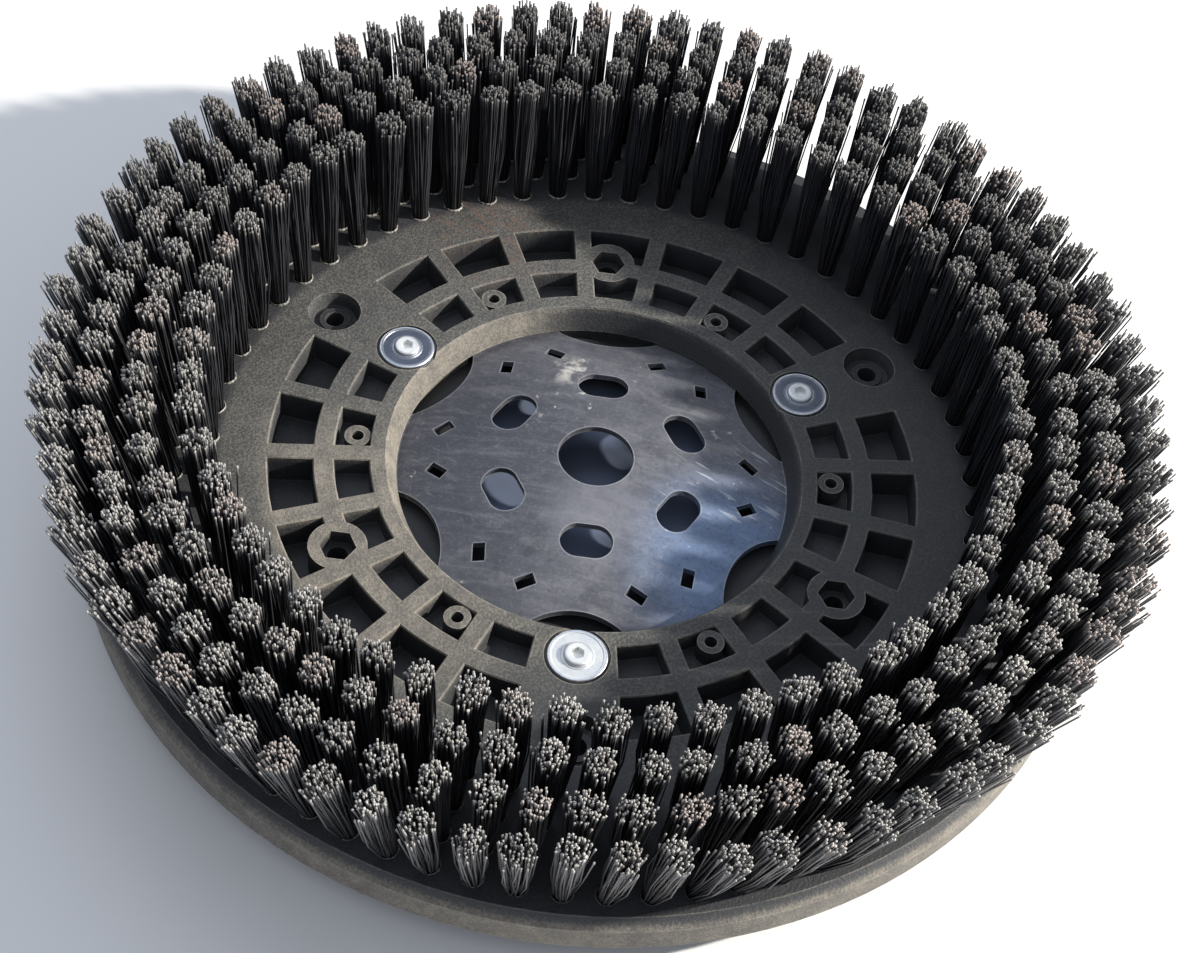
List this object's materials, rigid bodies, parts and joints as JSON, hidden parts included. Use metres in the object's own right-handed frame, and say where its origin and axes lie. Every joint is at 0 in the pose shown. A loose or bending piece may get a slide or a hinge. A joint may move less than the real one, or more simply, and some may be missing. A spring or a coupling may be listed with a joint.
{
  "type": "disc wheel brush",
  "caption": "Round disc brush for washing wheels: moulded ribbed block with rings of long flared bristle tufts, domed steel drive plate and rear steel mounting flange.",
  "frame": {"origin": "on the spin axis, at the back face of the rear mounting flange", "axes": "+Z along the spin axis towards the bristle tips, +X through the middle of a solid bridge of the rib lattice"},
  "size_m": [0.4456, 0.4456, 0.0918],
  "materials": {
    "block_plastic": "moulded black plastic, dusty",
    "bristle_nylon": "black nylon filament, lighter worn tips",
    "plate_steel": "worn galvanised sheet",
    "flange_steel": "galvanised sheet",
    "zinc_plating": "bright zinc plating",
    "anchor_wire": "drawn flat wire"
  },
  "bodies": {
    "root": {"brush_block": "block_plastic", "drive_plate": "plate_steel", "rear_flange": "flange_steel", "clamp_washer_1": "zinc_plating", "clamp_screw_1": "zinc_plating", "clamp_nut_1": "zinc_plating", "clamp_washer_2": "zinc_plating", "clamp_screw_2": "zinc_plating", "clamp_nut_2": "zinc_plating", "clamp_washer_3": "zinc_plating", "clamp_screw_3": "zinc_plating", "clamp_nut_3": "zinc_plating", "plate_screw_1": "zinc_plating", "plate_screw_2": "zinc_plating", "plate_screw_3": "zinc_plating", "plate_screw_4": "zinc_plating", "plate_screw_5": "zinc_plating", "plate_screw_6": "zinc_plating", "tuft_ring_1": "bristle_nylon", "tuft_anchors_1": "anchor_wire", "tuft_ring_2": "bristle_nylon", "tuft_anchors_2": "anchor_wire", "tuft_ring_3": "bristle_nylon", "tuft_anchors_3": "anchor_wire", "tuft_ring_4": "bristle_nylon", "tuft_anchors_4": "anchor_wire"}
  },
  "joints": []
}
